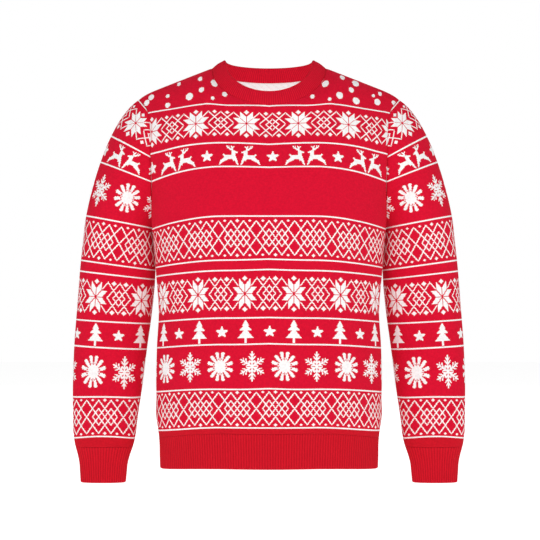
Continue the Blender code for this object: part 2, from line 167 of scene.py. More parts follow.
# Where each stripe crosses the sleeve: its height at SLEEVE_ROWS_X, and how steeply it climbs outwards
SLEEVE_ROWS_X = 0.2
SLEEVE_ROW_COLUMNS = ("stripe", "z", "slope")
SLEEVE_ROWS_AT = (
    ("a", -0.0877, 1.180),
    ("b", -0.1598, 0.538),
    ("c", -0.2011, 0.393),
    ("d", -0.2782, 0.187),
    ("e", -0.3497, 0.138),
    ("f", -0.3650, 0.114),
    ("g", -0.4414, 0.056),
    ("h", -0.4849, 0.052),
    ("i", -0.5667, 0.005),
    ("j", -0.6362, 0.000),
)
# The last two stripes arch by this much at the middle of the wrist, and not at all this far from it
WRIST_X, WRIST_REACH, WRIST_ARCH = 0.282, 0.05, (0.0015, 0.004)


# ---------------------------------------------------------------- form


def cubic(t, start, leave, end, arrive):
    """The cubic from start to end as t runs from 0 to 1, with its velocities as it leaves and arrives."""
    return (
        (2 * t**3 - 3 * t**2 + 1) * start
        + (t**3 - 2 * t**2 + t) * leave
        + (3 * t**2 - 2 * t**3) * end
        + (t**3 - t**2) * arrive
    )


def smooth(known, values, at):
    """Cubic pieces through the known points, with the slope at each point taken from its two neighbours."""
    known, values = np.array(known), np.array(values)
    if known[0] > known[-1]:
        known, values = known[::-1], values[::-1]
    slopes = np.gradient(values, known)
    at = np.clip(at, known[0], known[-1])
    i = np.clip(np.searchsorted(known, at) - 1, 0, len(known) - 2)
    step = known[i + 1] - known[i]
    return cubic((at - known[i]) / step, values[i], step * slopes[i], values[i + 1], step * slopes[i + 1])


def torso(column, height):
    """One measure of the torso at a height, from the column of its table that has this name."""
    rows = np.array(TORSO)
    return smooth(rows[:, 0], rows[:, TORSO_COLUMNS.index(column)], height)


def unit(vectors):
    """The same directions, each divided by its length."""
    return vectors / np.linalg.norm(vectors, axis=-1, keepdims=True)


def half_depth(side, height):
    """Depth of the half ellipse in front of (side -1) or behind (side 1) the widest line."""
    if side < 0:
        return torso("front_depth", height) + WIDEST_Y
    return torso("back_depth", height) - WIDEST_Y


def edge_angle(side, y, height):
    """The angle from the middle of a panel at which its section reaches this y."""
    ahead = (y - WIDEST_Y) * side
    forward = np.where(ahead > 0, ahead / half_depth(side, height), ahead / half_depth(-side, height))
    return np.arccos(np.clip(forward, -1, 1))


def row_height(z):
    """The height at the middle of the row that ends at this height on its outermost column."""
    height = np.linspace(TORSO[0][0], TORSO[-1][0], 800)
    return np.interp(z, height - torso("side_drop", height), height)


def armhole(side, angle):
    """The armhole seam on the +X side: angle 0 at the shoulder tip, pi at the armpit, in front or behind."""
    up = np.cos(angle)
    reach = ARMHOLE_FRONT if side < 0 else ARMHOLE_BACK
    y = SIDE_SEAM_Y * (1 - up) / 2 + side * reach * np.sin(angle) * (1 + ARMHOLE_EGG * up)
    z = ARMHOLE_MIDDLE + ARMHOLE_HALF * up
    height = row_height(z)
    chest = torso("half_width", height) * np.sin(edge_angle(side, y, height))
    above_chest = np.clip(up + 0.95, 0, 1)
    above_chest = above_chest**2 * (3 - 2 * above_chest)
    x = chest + (ARMHOLE_X - chest) * above_chest
    x = x + (SHOULDER_TIP_X - ARMHOLE_X) * np.clip(up, 0, 1) ** 6
    return np.stack([x, y, z], -1)


def row(side, share, height):
    """A point of the front (side -1) or back (side 1) below the yoke: share runs from -1 to 1 across it.

    Each row is an arc of an ellipse that ends on the side seam or, above the armpit, on the armhole.
    """
    drop = torso("side_drop", height)
    up = (height - drop - ARMHOLE_MIDDLE) / ARMHOLE_HALF
    seam = armhole(side, np.arccos(np.clip(up, -1, 1)))
    last_y = np.where(up > -1, seam[..., 1], SIDE_SEAM_Y)
    last = edge_angle(side, last_y, height)
    width = np.where(up > -1, seam[..., 0] / np.sin(last), torso("half_width", height))
    angle = share * last
    depth = np.where(np.cos(angle) > 0, half_depth(side, height), half_depth(-side, height))
    outward = np.abs(np.sin(np.clip(angle, -np.pi / 2, np.pi / 2)))
    sag = np.clip((outward / np.sin(np.minimum(last, np.pi / 2)) - 0.4) / 0.6, 0, 1) ** 1.8
    return np.stack(
        [width * np.sin(angle), WIDEST_Y + side * depth * np.cos(angle), height - drop * sag], -1
    )


def neck_loop(table, side, angle):
    """Half of a leaning, rounded loop: angle 0 at its middle, pi/2 where it crosses the high shoulder."""
    size = dict(zip(NECK_COLUMNS, table))
    y = size["front_y"] if side < 0 else size["back_y"]
    z = size["front_z"] if side < 0 else size["back_z"]
    c = np.cos(angle)
    return np.stack(
        [
            size["half_width"] * np.sin(angle),
            y * np.sign(c) * np.abs(c) ** NECK_SQUARENESS,
            size["side_z"] + (z - size["side_z"]) * c,
        ],
        -1,
    )


def shoulder(share):
    """The shoulder seam from the high shoulder point (0) to the tip (1), falling faster at its very end."""
    run = SHOULDER_TIP_X - NECK_HALF_WIDTH
    extra = HIGH_SHOULDER - SHOULDER_SLOPE * run - SHOULDER_TIP
    z = HIGH_SHOULDER - SHOULDER_SLOPE * run * share - extra * share**12
    return np.stack([NECK_HALF_WIDTH + run * share, 0 * share, z], -1)


def yoke_column(side, share, rise):
    """A point of the yoke before its edge is fitted to the armhole: each column is a cubic from the base
    row to the neckline or the shoulder seam."""
    base = row(side, share, np.full_like(share, YOKE_BASE))
    below = row(side, share, np.full_like(share, YOKE_BASE - 0.004))
    neck_angle = np.clip(share / NECK_COLUMN, 0, 1) * np.pi / 2
    on_shoulder = np.clip((share - NECK_COLUMN) / (1 - NECK_COLUMN), 0, 1)
    seam = neck_loop(NECK_SEAM, side, neck_angle)
    top = np.where((share <= NECK_COLUMN)[..., None], seam, shoulder(on_shoulder))
    band = unit(neck_loop(NECK_EDGE, side, neck_angle) - seam)
    lean = NECK_CORNER_LEAN * (1 - on_shoulder) ** 2
    over = np.stack([-lean, -side * np.ones_like(lean), lean * SHOULDER_SLOPE], -1)
    arrive = np.cos(neck_angle)[..., None] * band + np.sin(neck_angle)[..., None] * over
    chord = np.linalg.norm(top - base, axis=-1, keepdims=True)
    fullness = 0.95 + YOKE_FULLNESS * np.exp(-(((share - 0.50) / 0.20) ** 2))[..., None]
    return cubic(rise[..., None], base, chord * unit(base - below), top, chord * fullness * arrive)


def yoke(side, share, rise):
    """A point of the panel above the yoke's base, with the outermost columns drawn on to the armhole."""
    across = np.abs(share)
    outermost = np.ones_like(across)
    column, edge = yoke_column(side, across, rise), yoke_column(side, outermost, rise)
    base = row(side, outermost, np.full_like(across, YOKE_BASE))
    start = np.arccos((base[..., 2] - ARMHOLE_MIDDLE) / ARMHOLE_HALF)
    place = column + (across**6)[..., None] * (armhole(side, start * (1 - rise)) - edge)
    place[..., 0] *= np.where(share < 0, -1, 1)
    return place


def band_outward(side, angle):
    """Straight out of the neckband at its seam."""
    step = 1e-4
    across = neck_loop(NECK_SEAM, side, angle + step) - neck_loop(NECK_SEAM, side, angle - step)
    up = neck_loop(NECK_EDGE, side, angle) - neck_loop(NECK_SEAM, side, angle)
    return unit(np.cross(across, up)) * -side


def oval(around, half_width, half_deep):
    """Across and forward distances of a rounded oval: angle 0 at its outer side, pi/2 at its front."""
    c, s = np.cos(around), np.sin(around)
    return (
        half_width * np.sign(c) * np.abs(c) ** (2 / OVAL_POWER),
        half_deep * np.sign(s) * np.abs(s) ** (2 / OVAL_POWER),
    )


def sleeve_size(name, z):
    """One measure of the sleeve at the height of its middle line, from the column that has this name."""
    rows = np.array(SLEEVE)
    return smooth(rows[:, 1], rows[:, SLEEVE_COLUMNS.index(name)], z)


def sleeve_ring(around, z):
    """A section of the sleeve, by the height of its middle: a tilted rounded oval."""
    across, forward = oval(around, sleeve_size("half_width", z), sleeve_size("half_depth", z))
    tilt = np.radians(sleeve_size("tilt", z))
    return np.stack(
        [
            sleeve_size("x", z) + across * np.cos(tilt),
            sleeve_size("y", z) - forward,
            z + across * np.sin(tilt),
        ],
        -1,
    )


def sleeve_cap(around, run):
    """The sleeve from the armhole (run 0) to its first full section (run 1), as cubics that leave the
    armhole outwards and arrive down the arm."""
    first = SLEEVE[0][1]
    turned = np.arccos(np.clip(np.cos(around), -1, 1))
    front = (np.sin(around) >= 0)[..., None]
    start = np.where(front, armhole(-1, turned), armhole(1, turned))
    end = sleeve_ring(around, np.full_like(around, first))
    down = unit(sleeve_ring(around, np.full_like(around, first - 0.004)) - end)
    top = np.clip(np.cos(around), 0, 1)
    leave = unit(np.stack([0.80 + 0 * around, -0.12 * np.sin(around), -0.35 - 0.15 * top], -1))
    chord = np.linalg.norm(end - start, axis=-1, keepdims=True)
    return cubic(run[..., None], start, chord * leave * CAP_RISE, end, chord * down * CAP_FALL)


def torso_outward(side, places, height):
    """Level directions straight out of the torso's oval section."""
    ahead = (places[..., 1] - WIDEST_Y) * side > 0
    depth = np.where(ahead, half_depth(side, height), half_depth(-side, height))
    width = torso("half_width", height)
    return unit(
        np.stack([places[..., 0] / width**2, (places[..., 1] - WIDEST_Y) / depth**2, 0 * depth], -1)
    )


def armhole_mitre(places):
    """Away from the armhole's middle and a little outwards: the line on which body and sleeve meet."""
    forward = (places[..., 1] - SIDE_SEAM_Y / 2) / ARMHOLE_BACK
    up = (places[..., 2] - ARMHOLE_MIDDLE) / ARMHOLE_HALF
    return unit(np.stack([np.full_like(up, MITRE_OUT), forward, up], -1))


def directions(grid, side=0, ring=False):
    """Unit normals of a grid, turned to the front or the back, or away from a tube's middle line."""
    down = np.gradient(grid, axis=0)
    if ring:
        across = np.roll(grid, -1, 1) - np.roll(grid, 1, 1)
    else:
        across = np.gradient(grid, axis=1)
    found = unit(np.cross(across, down))
    if ring:
        inside = grid.mean(axis=1, keepdims=True)
        return found * np.sign(((grid - inside) * found).sum(-1).mean())
    return found * np.sign(found[..., 1].mean()) * side


def lengths(grid, axis):
    """Distance travelled along a grid in one direction, from its first line."""
    steps = np.linalg.norm(np.diff(grid, axis=axis), axis=-1)
    start = np.zeros_like(np.take(steps, [0], axis))
    return np.concatenate([start, np.cumsum(steps, axis)], axis)


def mixed(spacing, ends, near=(0.0012, 0.0030)):
    """Values from ends[0] to ends[1] about a spacing apart, with two more close to each end."""
    low, high = ends
    count = round((high - low) / spacing)
    values = list(np.linspace(low, high, count + 1))
    return np.array(sorted(values + [low + n for n in near] + [high - n for n in near]))


def near_ends(at, ends, reach=0.0018):
    """1 at both ends of a run, where a seam draws the cloth in, falling to 0 within a few millimetres."""
    return np.exp(-(at - ends[0]) / reach) + np.exp(-(ends[1] - at) / reach)


# ---------------------------------------------------------------- folds

# Soft troughs (negative) and ridges, each an elongated hump: where its middle is, which way it runs in
# degrees from level, how long and how wide it is, and how far it stands out. x counts from the middle of
# the body.
FOLD_COLUMNS = ("x", "z", "direction", "length", "width", "height")
FRONT_FOLDS = (
    (0.150, -0.262, 38, 0.060, 0.011, -0.0022),
    (0.138, -0.288, 30, 0.050, 0.012, 0.0012),
    (-0.148, -0.258, 142, 0.058, 0.012, -0.0020),
    (-0.140, -0.292, 150, 0.046, 0.012, 0.0011),
    (0.095, -0.585, 6, 0.075, 0.012, -0.0014),
    (-0.060, -0.592, -5, 0.090, 0.013, -0.0013),
    (-0.135, -0.575, 9, 0.050, 0.012, 0.0010),
    (0.020, -0.400, 84, 0.085, 0.024, 0.0012),
    (0.172, -0.430, 86, 0.095, 0.014, -0.0012),
    (-0.170, -0.405, 95, 0.090, 0.014, -0.0013),
)
BACK_FOLDS = (
    (0.146, -0.255, 36, 0.060, 0.012, -0.0022),
    (-0.143, -0.262, 145, 0.055, 0.012, -0.0020),
    (0.060, -0.588, -6, 0.085, 0.013, -0.0014),
    (-0.085, -0.580, 7, 0.080, 0.012, -0.0012),
    (0.000, -0.330, 90, 0.110, 0.020, -0.0016),
    (0.110, -0.460, 82, 0.080, 0.018, 0.0011),
    (-0.120, -0.440, 98, 0.085, 0.018, 0.0010),
)
# On a sleeve x counts from its middle line outwards, and the same folds lie a little lower behind.
FOLDS_LOWER_BEHIND = 0.018
SLEEVE_FOLDS = (
    (-0.030, -0.300, -32, 0.040, 0.010, -0.0018),
    (-0.022, -0.455, -14, 0.040, 0.010, -0.0020),
    (-0.018, -0.480, -6, 0.042, 0.010, 0.0012),
    (0.016, -0.505, 12, 0.036, 0.011, -0.0014),
    (-0.008, -0.612, 5, 0.040, 0.009, -0.0016),
    (0.014, -0.632, -7, 0.034, 0.008, -0.0013),
    (0.006, -0.588, 3, 0.040, 0.010, 0.0010),
)


def folds(table, x, z):
    """How far the cloth stands out at each place: the sum of the humps of a table."""
    total = 0 * x
    for fold in table:
        size = dict(zip(FOLD_COLUMNS, fold))
        turn = math.radians(size["direction"])
        run = (x - size["x"]) * math.cos(turn) + (z - size["z"]) * math.sin(turn)
        across = (z - size["z"]) * math.cos(turn) - (x - size["x"]) * math.sin(turn)
        curve = across - 0.8 * run**2
        far = (run / size["length"]) ** 2 + (curve / size["width"]) ** 2
        total = total + size["height"] * np.exp(-far)
    return total


# ---------------------------------------------------------------- pieces


def add_piece(name, grid, outward, wall, fabric, material, ring=False, hem=None):
    """A closed shell of cloth: the outer grid, an inner grid one wall behind it, and a rim round them.

    ring closes the grid sideways. hem is the row (0 or -1) whose rim is rounded. fabric holds the fabric
    coordinates of each point, in metres, with one more column than the grid on a ring.
    """
    rows, columns = grid.shape[:2]
    count = rows * columns
    inner = grid - outward * (wall[..., None] if isinstance(wall, np.ndarray) else wall)
    places = [grid.reshape(-1, 3), inner.reshape(-1, 3)]
    last = columns if ring else columns - 1
    i, j = [a.ravel() for a in np.meshgrid(np.arange(rows - 1), np.arange(last), indexing="ij")]
    corner_rows = np.stack([i, i, i + 1, i + 1], -1)
    corner_columns = np.stack([j, j + 1, j + 1, j], -1)
    quads = corner_rows * columns + corner_columns % columns
    quad_fabric = fabric[corner_rows, corner_columns]
    faces = [quads, quads[:, ::-1] + count]
    face_fabric = [quad_fabric, quad_fabric[:, ::-1]]

    # The borders as loops of (row, column), each going round with the cloth on the same hand
    across = np.arange(columns + 1 if ring else columns)
    bottom = np.stack([0 * across, across], -1)
    top = np.stack([0 * across + rows - 1, across], -1)[::-1]
    if ring:
        loops = [bottom, top]
    else:
        up = np.arange(1, rows - 1)
        right = np.stack([up, 0 * up + columns - 1], -1)
        left = np.stack([up, 0 * up], -1)[::-1]
        loops = [np.concatenate([bottom, right, top, left, bottom[:1]])]
    made = 2 * count
    for loop in loops:
        here = loop[:-1]
        own = here[:, 0] * columns + here[:, 1] % columns
        middle = (places[0][own] + places[1][own]) / 2
        if hem is not None:
            edge_row = 0 if hem == 0 else rows - 1
            away = unit(grid[edge_row] - grid[1 if hem == 0 else rows - 2])
            on_hem = here[:, 0] == edge_row
            middle[on_hem] += away[here[on_hem, 1] % columns] * RIB * HEM_ROUND
        rim = made + np.arange(len(here))
        ahead = np.roll(rim, -1)
        own_ahead = np.roll(own, -1)
        faces.append(np.stack([own_ahead, own, rim, ahead], -1))
        faces.append(np.stack([ahead, rim, own + count, own_ahead + count], -1))
        pair = np.stack([fabric[loop[1:, 0], loop[1:, 1]], fabric[here[:, 0], here[:, 1]]], 1)
        face_fabric += [pair[:, [0, 1, 1, 0]]] * 2
        places.append(middle)
        made += len(here)
    vertices, faces, drawn = np.concatenate(places), np.concatenate(faces), np.concatenate(face_fabric)
    if np.cross(grid[0, 1] - grid[0, 0], grid[1, 0] - grid[0, 0]) @ outward[0, 0] < 0:
        faces, drawn = faces[:, ::-1], drawn[:, ::-1]
    mesh = bpy.data.meshes.new(name)
    mesh.from_pydata(vertices.tolist(), [], faces.tolist())
    mesh.uv_layers.new(name="Fabric").data.foreach_set("uv", drawn.reshape(-1).astype(np.float32))
    inside = np.zeros(len(vertices), np.float32)
    inside[count : 2 * count] = 1
    mesh.attributes.new("Inside", "FLOAT", "POINT").data.foreach_set("value", inside)
    mesh.polygons.foreach_set("use_smooth", np.ones(len(faces), bool))
    mesh.materials.append(material)
    mesh.validate()
    piece = bpy.data.objects.new(name, mesh)
    bpy.context.collection.objects.link(piece)
    return piece


def sag(x, level):
    """How much lower than level the rows hang at each place: smooth in both directions through the table."""
    known = np.array([STRIPES[name] for name in SAG])[::-1]
    found = np.array([smooth(SAG_AT, np.array(low) / 1000, np.abs(x)) for low in SAG.values()])[::-1]
    at = np.clip(level, known[0], known[-1])
    i = np.clip(np.searchsorted(known, at) - 1, 0, len(known) - 2)
    part = (at - known[i]) / (known[i + 1] - known[i])
    part = part**2 * (3 - 2 * part)
    rows, columns = np.indices(x.shape)
    return found[i, rows, columns] * (1 - part) + found[i + 1, rows, columns] * part


def panel(side):
    """Outer points, outward directions and fabric coordinates of the front or the back."""
    share = np.linspace(-1, 1, 141)
    start = np.arccos((YOKE_BASE - torso("side_drop", YOKE_BASE) - ARMHOLE_MIDDLE) / ARMHOLE_HALF)
    upper = row_height(ARMHOLE_MIDDLE + ARMHOLE_HALF * np.cos(np.linspace(np.pi, start, 48)))
    heights = np.concatenate([mixed(0.0043, (WELT_SEAM, upper[0]))[:-4], upper])
    lower = row(side, *np.meshgrid(share, heights))
    rises = np.unique(np.concatenate([np.linspace(0, 1, 34), [0.992]]))[1:]
    top = yoke(side, *np.meshgrid(share, rises))
    grid = np.concatenate([lower, top])

    # Fabric coordinates: along the rows, and up from the welt
    centre = len(share) // 2
    u_lower = lengths(lower, 1)
    u_lower = u_lower - u_lower[:, [centre]]
    base_x, base_u = lower[-1, :, 0], u_lower[-1]
    beyond = (base_u[-1] - base_u[-2]) / (base_x[-1] - base_x[-2])
    x = top[..., 0]
    u_top = np.interp(x, base_x, base_u) + np.where(
        np.abs(x) > base_x[-1], np.sign(x) * (np.abs(x) - base_x[-1]) * beyond, 0
    )
    arc = lengths(grid[len(heights) - 1 :], 0)[1:]
    level = np.concatenate([heights[:, None] + 0 * u_lower, YOKE_BASE + arc])
    fabric = np.stack([np.concatenate([u_lower, u_top]), level + sag(grid[..., 0], level)], -1)

    # Outward directions: the same ones at a seam for both pieces that meet there
    outward = directions(grid, side)
    outward[0] = torso_outward(side, grid[0], WELT_SEAM)
    for end, sign in ((0, -1), (-1, 1)):
        flip = np.array([sign, 1, 1])
        above = (grid[:, end, 2] > ARMPIT + 1e-5)[:, None]
        beside = torso_outward(side, grid[:, end], WELT_SEAM)
        outward[:, end] = np.where(above, armhole_mitre(grid[:, end] * flip) * flip, beside)
    across = np.abs(share)
    neck = band_outward(side, np.clip(across / NECK_COLUMN, 0, 1) * np.pi / 2)
    sign = np.stack([np.sign(share), 1 + 0 * share, 1 + 0 * share], -1)
    slope = unit(np.array([SHOULDER_SLOPE, 0, 1.0])) * sign
    weight = np.clip((across - NECK_COLUMN) / 0.08, 0, 1)[:, None]
    outward[-1, 1:-1] = unit(neck * sign * (1 - weight) + slope * weight)[1:-1]
    outward[-1, [0, -1], 1] *= 0.2
    outward[-1, [0, -1]] = unit(outward[-1, [0, -1]])

    # Each border is drawn back by half a seam gap, and the cloth dips a little beside it
    straight = directions(grid, side)
    table = FRONT_FOLDS if side < 0 else BACK_FOLDS
    edge = lengths(grid, 1)
    ends = (edge[:, :1], edge[:, -1:])
    rise = lengths(grid, 0)
    high = (rise[:1], rise[-1:])
    seam = np.clip(near_ends(edge, ends) + 0.5 * near_ends(rise, high), 0, 1)
    away_from_seams = np.clip(1 - 4 * seam, 0, 1)
    blouse = BLOUSE * np.exp(-(((grid[..., 2] - BLOUSE_AT) / BLOUSE_REACH) ** 2))
    out = folds(table, grid[..., 0], grid[..., 2]) + blouse
    place = grid + straight * (out * away_from_seams - seam_dip(grid[..., 2]) * seam)[..., None]
    return drawn_back(place), outward, fabric


def seam_dip(height):
    """How far the cloth dips beside a seam: most low on an armhole, where the sleeve pulls down."""
    low = np.clip(1 - np.abs(height - ARMHOLE_DIP_AT) / ARMHOLE_DIP_REACH, 0, 1)
    return SEAM_DIP + ARMHOLE_DIP * low


def drawn_back(grid, ring=False):
    """The grid with its borders moved in by half a seam gap."""
    place = grid.copy()
    place[0] += unit(grid[1] - grid[0]) * SEAM_GAP / 2
    place[-1] += unit(grid[-2] - grid[-1]) * SEAM_GAP / 2
    if not ring:
        place[:, 0] += unit(grid[:, 1] - grid[:, 0]) * SEAM_GAP / 2
        place[:, -1] += unit(grid[:, -2] - grid[:, -1]) * SEAM_GAP / 2
    return place


def ridges(run, length, pitch):
    """Ridges passed along a run, a whole number in all, and the wave from 0 in a furrow to 1 on a ridge."""
    phase = run / run[:, -1:] * round(length / pitch)
    return phase, 0.5 - 0.5 * np.cos(2 * np.pi * phase)


def welt(side):
    """The ribbed welt under a panel: a whole number of ridges and furrows run up it from seam to seam."""
    share = np.linspace(-1, 1, 905)
    heights = mixed(0.0052, (HEM, WELT_SEAM), near=(0.0012,))
    grid = row(side, *np.meshgrid(share, heights))
    run = lengths(grid, 1)
    total = run[-1, -1]
    phase, wave = ridges(run, total, WELT_PITCH)
    turn = torso_outward(side, grid, WELT_SEAM)
    beside = near_ends(run, (run[:, :1], run[:, -1:]), 0.0012)
    rise = heights[:, None] + 0 * run
    at_seam = np.exp(-(WELT_SEAM - rise) / 0.0020)
    swell = 0.0006 * np.sin(run / total * 31 + 1.3 * side) * np.clip((WELT_SEAM - rise) / 0.03, 0, 1)
    depth = FURROW * (1 - wave) * (1 - 0.6 * at_seam) + SEAM_DIP * np.clip(beside + at_seam, 0, 1)
    place = drawn_back(grid + turn * (swell - depth)[..., None])
    wall = RIB - FURROW * (1 - wave) * 0.7
    fabric = np.stack([phase * WELT_PITCH, rise], -1)
    return place, turn, wall, fabric


def neck_ring():
    """The neckband: its ridges stand up from the neckline, and its free edge is rounded over."""
    angle = np.linspace(0, 2 * np.pi, 1088, endpoint=False)
    rises = np.array([0, 0.05, 0.13, 0.25, 0.38, 0.5, 0.62, 0.75, 0.87, 0.95, 1])
    turn, rise = np.meshgrid(angle, rises)
    folded = np.arcsin(np.sin(turn))
    ahead = np.cos(turn) >= 0
    parts = []
    for side in (-1, 1):
        seam = neck_loop(NECK_SEAM, side, folded)
        edge = neck_loop(NECK_EDGE, side, folded)
        out = band_outward(side, folded)
        bulge = BAND_BULGE * 4 * rise * (1 - rise)
        parts.append((seam + (edge - seam) * rise[..., None] + bulge[..., None] * out, out))
    grid = np.where(ahead[..., None], parts[0][0], parts[1][0])
    outward = np.where(ahead[..., None], parts[0][1], parts[1][1])
    closed = np.concatenate([grid, grid[:, :1]], 1)
    run = lengths(closed, 1)
    phase, wave = ridges(run, run[0, -1], BAND_PITCH)
    hold = np.clip(rise * 6, 0, 1)
    depth = BAND_FURROW * (1 - wave[:, :-1]) * hold + SEAM_DIP * np.exp(-rise / 0.07)
    place = drawn_back(grid - outward * depth[..., None], ring=True)
    fabric = np.stack([phase * BAND_PITCH, np.concatenate([rise, rise[:, :1]], 1) * 0.032], -1)
    return place, outward, BAND - depth * 0.7, fabric


def stripe_height(x, z):
    """The fabric height at a place on a sleeve: each stripe is a line, and rows between share the height."""
    rows = [dict(zip(SLEEVE_ROW_COLUMNS, line)) for line in SLEEVE_ROWS_AT]
    lines = np.stack([r["z"] + r["slope"] * (x - SLEEVE_ROWS_X) for r in rows])
    arch = np.clip(1 - ((x - WRIST_X) / WRIST_REACH) ** 2, 0, 1)
    lines[-2:] += np.array(WRIST_ARCH)[:, None, None] * arch
    known = np.array([STRIPES[r["stripe"]] for r in rows])

    # One more line well above the first stripe and one well below the last
    lines = np.concatenate([lines[:1] + 0.05, lines, lines[-1:] - 0.10])
    known = np.concatenate([[known[0] + 0.047], known, [known[-1] - 0.10]])
    value = known[0] + (z - lines[0])
    for k in range(len(known) - 1):
        part = (z - lines[k + 1]) / (lines[k] - lines[k + 1])
        value = np.where(z < lines[k], known[k + 1] + part * (known[k] - known[k + 1]), value)
    return value


def sleeve():
    """The +X sleeve: from the armhole over the cap and down to the cuff."""
    around = np.linspace(np.pi, -np.pi, 105)
    runs = np.concatenate([[0, 0.006, 0.016], np.linspace(0, 1, 42)[1:]])
    cap = sleeve_cap(*np.meshgrid(around, runs))
    levels = mixed(0.0045, (CUFF_SEAM, SLEEVE[0][1]))[::-1][3:]
    tube = sleeve_ring(*np.meshgrid(around, levels))
    closed = np.concatenate([cap, tube])
    v = stripe_height(closed[..., 0], closed[..., 2])

    # Across: the distance travelled square to the direction in which the fabric climbs
    normal = directions(closed[:, :-1], ring=True)
    normal = np.concatenate([normal, normal[:, :1]], 1)
    down, over = np.gradient(closed, axis=(0, 1))
    dv_down, dv_over = np.gradient(v)
    aa, bb, ab = (down * down).sum(-1), (over * over).sum(-1), (down * over).sum(-1)
    scale = aa * bb - ab**2
    climb = (
        ((bb * dv_down - ab * dv_over) / scale)[..., None] * down
        + ((aa * dv_over - ab * dv_down) / scale)[..., None] * over
    )
    along_row = np.cross(unit(climb), normal)
    along_row *= np.sign((along_row * over).sum(-1).mean())
    front = len(around) // 4  # the column at the middle of the front
    step_over = (np.diff(closed, axis=1) * (along_row[:, 1:] + along_row[:, :-1]) / 2).sum(-1)
    u = np.concatenate([0 * v[:, :1], np.cumsum(step_over, 1)], 1)
    step_down = (np.diff(closed, axis=0) * (along_row[1:] + along_row[:-1]) / 2).sum(-1)
    middle = np.concatenate([[0], np.cumsum(step_down[:, front])])
    middle = middle - middle[-1]
    u = u - u[:, front : front + 1] + middle[:, None]
    fabric = np.stack([u, v], -1)

    grid = closed[:, :-1]
    out = directions(grid, ring=True)
    outward = out.copy()
    outward[0] = armhole_mitre(grid[0])
    outward[-1] = unit(out[-1] * (1, 1, 0))
    lateral = grid[..., 0] - sleeve_size("x", grid[..., 2])
    behind = out[..., 1] > 0
    hump = folds(SLEEVE_FOLDS, lateral, grid[..., 2] + np.where(behind, FOLDS_LOWER_BEHIND, 0))
    facing = np.clip(np.abs(out[..., 1]) * 1.6, 0, 1)
    rise = lengths(grid, 0)
    seam = np.clip(near_ends(rise, (rise[:1], rise[-1:])), 0, 1)
    push = hump * facing * np.clip(1 - 4 * seam, 0, 1) - seam_dip(grid[..., 2]) * seam
    return drawn_back(grid + out * push[..., None], ring=True), outward, fabric


def cuff():
    """The +X cuff: the sleeve's lowest sections, with ridges and furrows up it all the way round."""
    around = np.linspace(np.pi, -np.pi, 361)
    levels = mixed(0.0052, (CUFF_EDGE, CUFF_SEAM), near=(0.0012,))[::-1]
    closed = sleeve_ring(*np.meshgrid(around, levels))
    run = lengths(closed, 1)
    phase, wave = ridges(run, run[:, -1].mean(), CUFF_PITCH)
    wave = wave[:, :-1]
    grid = closed[:, :-1]
    out = unit(directions(grid, ring=True) * (1, 1, 0))
    at_seam = np.exp((levels[:, None] - CUFF_SEAM) / 0.002)
    depth = FURROW * (1 - wave) * (1 - 0.6 * at_seam) + SEAM_DIP * at_seam
    place = drawn_back(grid - out * depth[..., None], ring=True)
    fabric = np.stack([phase * CUFF_PITCH, levels[:, None] + 0 * phase], -1)
    return place, out, RIB - FURROW * (1 - wave) * 0.7, fabric


# ---------------------------------------------------------------- charts


def squares(columns, rows):
    """Numbers of the stitches of a chart: across from its middle line, and up from its middle row."""
    return np.meshgrid(np.arange(columns), np.arange(rows))


def star_chart(columns, wide, high):
    """A quarter of an eight-petalled star, then a quarter of the knot of diamonds between two stars."""
    c, r = squares(columns, int(high) + 6)
    tall, level = high / 18, wide / 17
    petal_up = (c >= 1) & (c <= 8 * level) & (r >= c * tall / level + 1) & (r <= (10 + c / level) * tall)
    petal_out = (r >= 1) & (r <= 8 * tall) & (c >= r * level / tall + 1) & (c <= (9 + r / tall) * level)
    stud = np.abs(c) + np.abs(r - high) <= 3
    d = (columns - 1) - c
    x, y = d / wide, r / high
    thick = 0.055
    knot = np.abs(x + y - 1) < thick
    knot |= np.abs(x + y - 0.5) < thick
    knot |= (np.abs(x - y) < thick) & (x < 1.02)
    knot |= (np.abs(x + y - 2) < thick) & (x < 1.5) & (x > 0.98)
    knot |= np.abs(d - wide / 2) + np.abs(r - (high - 1)) <= 3
    in_star = petal_out | (c < 8 * level) & (r < high / 2)
    return (petal_up & (np.abs(c) + np.abs(r - high) > 4)) | petal_out | stud | (knot & ~in_star)


def lattice_chart():
    """A quarter of a net of lines: one open diamond, and a block of small ones beside it."""
    c, r = squares(26, 29)
    c = c * 24 / 25
    falls, climbs = c / 16 + r / 24, c / 16 - r / 24
    lines = (np.abs(falls - np.round(falls)) * 16 < 0.9) | (np.abs(climbs - np.round(climbs)) * 16 < 0.9)
    small = np.abs(np.abs(c - 24) / 8 + r / 12 - 1) < 0.10
    small |= np.abs(np.abs(c - 16) / 8 + r / 12 - 1) < 0.10
    studs = (np.abs(c - 8) + np.abs(r - 24) <= 2) | (np.abs(c - 24) + np.abs(r - 24) <= 2)
    return ((lines & (r <= 24)) | small | studs) & (r <= 26)


def drawn(c, r, strokes):
    """Stitches under strokes of a pen, each from one place to another and getting thinner or thicker."""
    found = np.zeros(c.shape, bool)
    for c0, r0, c1, r1, start, end in strokes:
        across, up = c1 - c0, r1 - r0
        part = np.clip(((c - c0) * across + (r - r0) * up) / (across**2 + up**2 + 1e-9), 0, 1)
        found |= np.hypot(c - c0 - part * across, r - r0 - part * up) <= start + (end - start) * part
    return found


